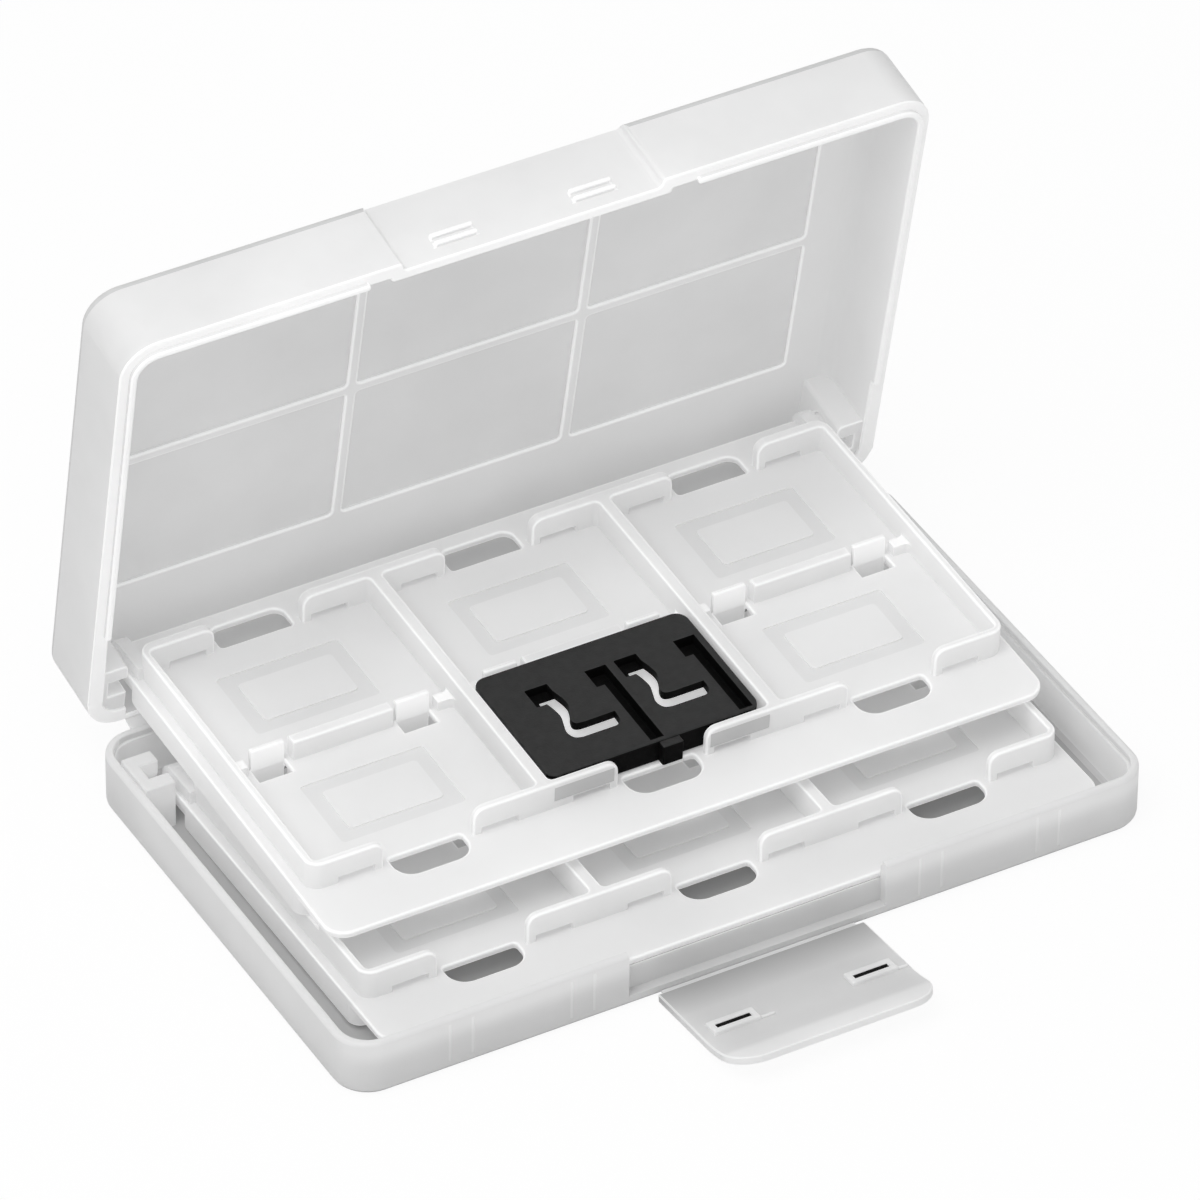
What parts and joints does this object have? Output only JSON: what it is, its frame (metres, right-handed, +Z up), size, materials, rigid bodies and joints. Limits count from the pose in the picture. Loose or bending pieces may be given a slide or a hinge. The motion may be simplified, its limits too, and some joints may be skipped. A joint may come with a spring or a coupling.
{
  "type": "game card case",
  "caption": "Flat hinged case of milky plastic with turning card trays inside, a front latch flap and a black insert for small memory cards.",
  "frame": {"origin": "middle of the base's flat underside", "axes": "+X along the hinge, across the case; -Y towards the latch at the front; +Z up"},
  "size_m": [0.118, 0.1062, 0.0808],
  "materials": {
    "case_plastic": "milky translucent polypropylene, satin",
    "tray_plastic": "milky translucent polypropylene, satin",
    "insert_plastic": "black satin plastic"
  },
  "bodies": {
    "base": {"base_shell": "case_plastic", "lid_hinge_strip": "case_plastic", "latch_hinge_strip": "case_plastic"},
    "lid": {"lid_shell": "case_plastic"},
    "upper_card_tray": {"upper_tray": "tray_plastic", "memory_card_insert": "insert_plastic"},
    "lower_card_tray": {"lower_tray": "tray_plastic"},
    "latch": {"latch_flap": "case_plastic"}
  },
  "joints": [
    {"name": "lid_hinge", "type": "hinge", "parent": "base", "child": "lid", "pos_m": [0, 0.03648, 0.00764], "axis": [-1, 0, 0], "range_deg": [-79.2, 0], "deforming": ["lid_hinge_strip"]},
    {"name": "upper_tray_pivot", "type": "hinge", "parent": "lid", "child": "upper_card_tray", "pos_m": [0, 0.0412, 0.01562], "axis": [-1, 0, 0], "range_deg": [0, 82.28]},
    {"name": "lower_tray_pivot", "type": "hinge", "parent": "base", "child": "lower_card_tray", "pos_m": [0, 0.0268, 0.0049], "axis": [-1, 0, 0], "range_deg": [-0.57, 0]},
    {"name": "latch_hinge", "type": "hinge", "parent": "base", "child": "latch", "pos_m": [0, -0.0363, 0.00095], "axis": [1, 0, 0], "range_deg": [-84, 6], "deforming": ["latch_hinge_strip"]}
  ],
  "couplings": [
    {"joint": "upper_tray_pivot", "follows": "lid_hinge", "ratio": -1.0388},
    {"joint": "lower_tray_pivot", "follows": "lid_hinge", "ratio": 0.007196}
  ]
}
